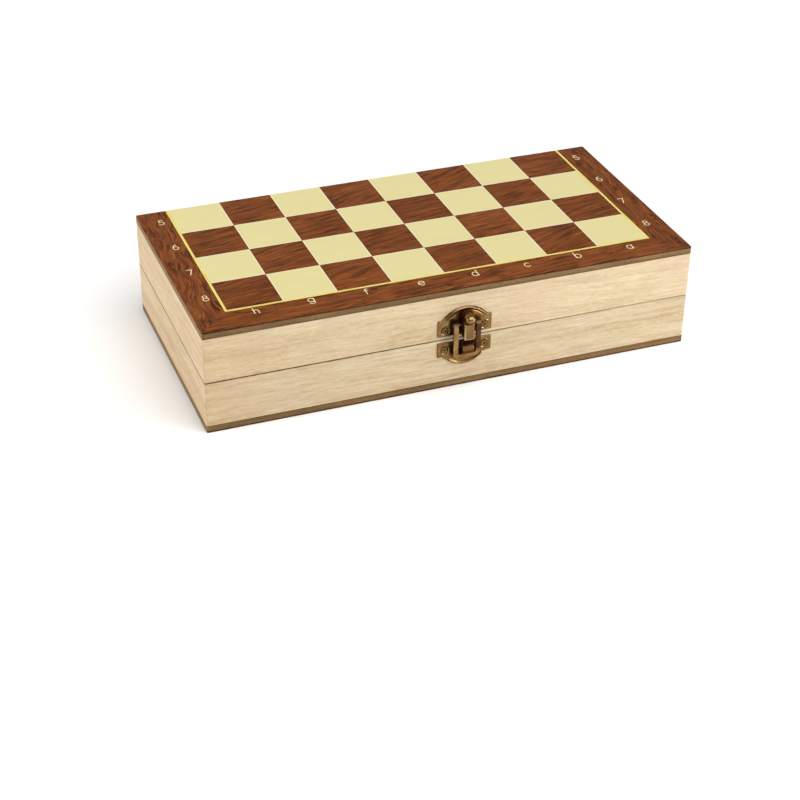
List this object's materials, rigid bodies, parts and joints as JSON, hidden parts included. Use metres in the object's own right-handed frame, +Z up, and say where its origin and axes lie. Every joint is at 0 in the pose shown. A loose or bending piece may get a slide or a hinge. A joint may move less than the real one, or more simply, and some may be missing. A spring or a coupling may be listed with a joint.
{
  "type": "folding chess box",
  "caption": "Folding wooden box of two hinged trays, a chequered board across its outer faces, held shut by a lever clasp with a swinging loop.",
  "frame": {"origin": "middle of the underside of the closed box, on the surface it stands on; the middle is that of the trays without the hinge knuckles and the clasp", "axes": "+X left to right along the front, -Y out of the front where the clasp is, +Y towards the hinges, +Z up; the box is closed at rest"},
  "size_m": [0.24, 0.1307, 0.052],
  "materials": {
    "pale_wood": "sanded, satin lacquer, soft straight grain",
    "panel_core": "sawn fibreboard edge, matt",
    "border_veneer": "dark red-brown swirled veneer, satin lacquer",
    "dark_veneer": "dark red-brown streaked veneer, satin lacquer",
    "light_veneer": "pale yellow veneer, satin lacquer",
    "inlay": "yellow stringing, satin lacquer",
    "antique_bronze": "stamped sheet, aged bronze plating worn bright on the edges",
    "dark_bronze": "aged bronze plating, darker",
    "hinge_brass": "thin brass plating, slightly dull",
    "steel_pin": "plain drawn wire"
  },
  "bodies": {
    "base": {"lower_board_core": "panel_core", "lower_front_rail": "pale_wood", "lower_back_rail": "pale_wood", "lower_left_rail": "pale_wood", "lower_right_rail": "pale_wood", "lower_border_front": "border_veneer", "lower_border_left": "border_veneer", "lower_border_right": "border_veneer", "lower_inlay_line": "inlay", "lower_dark_squares": "dark_veneer", "lower_light_squares": "light_veneer", "left_hinge_lower_leaf": "hinge_brass", "left_hinge_pin": "steel_pin", "right_hinge_lower_leaf": "hinge_brass", "right_hinge_pin": "steel_pin", "hinge_lower_screws": "hinge_brass", "clasp_lower_plate": "antique_bronze", "clasp_lower_screws": "dark_bronze"},
    "lid": {"upper_board_core": "panel_core", "upper_front_rail": "pale_wood", "upper_back_rail": "pale_wood", "upper_left_rail": "pale_wood", "upper_right_rail": "pale_wood", "upper_border_front": "border_veneer", "upper_border_left": "border_veneer", "upper_border_right": "border_veneer", "upper_inlay_line": "inlay", "upper_dark_squares": "dark_veneer", "upper_light_squares": "light_veneer", "left_hinge_upper_leaf": "hinge_brass", "right_hinge_upper_leaf": "hinge_brass", "hinge_upper_screws": "hinge_brass", "clasp_upper_plate": "antique_bronze", "clasp_lever_pin": "dark_bronze", "clasp_upper_screws": "dark_bronze"},
    "clasp_lever": {"clasp_lever": "antique_bronze"},
    "clasp_loop": {"clasp_loop": "antique_bronze", "clasp_loop_pin": "dark_bronze"}
  },
  "joints": [
    {"name": "lid_hinge", "type": "hinge", "parent": "base", "child": "lid", "pos_m": [0, 0.06015, 0.026], "axis": [-1, 0, 0], "range_deg": [0, 180]},
    {"name": "lever_hinge", "type": "hinge", "parent": "lid", "child": "clasp_lever", "pos_m": [0.004, -0.0632, 0.0302], "axis": [1, 0, 0], "range_deg": [0, 90]},
    {"name": "loop_hinge", "type": "hinge", "parent": "clasp_lever", "child": "clasp_loop", "pos_m": [0.004, -0.0631, 0.0344], "axis": [1, 0, 0], "range_deg": [-108, 0]}
  ],
  "couplings": [
    {"joint": "loop_hinge", "follows": "lever_hinge", "ratio": -1.2}
  ]
}
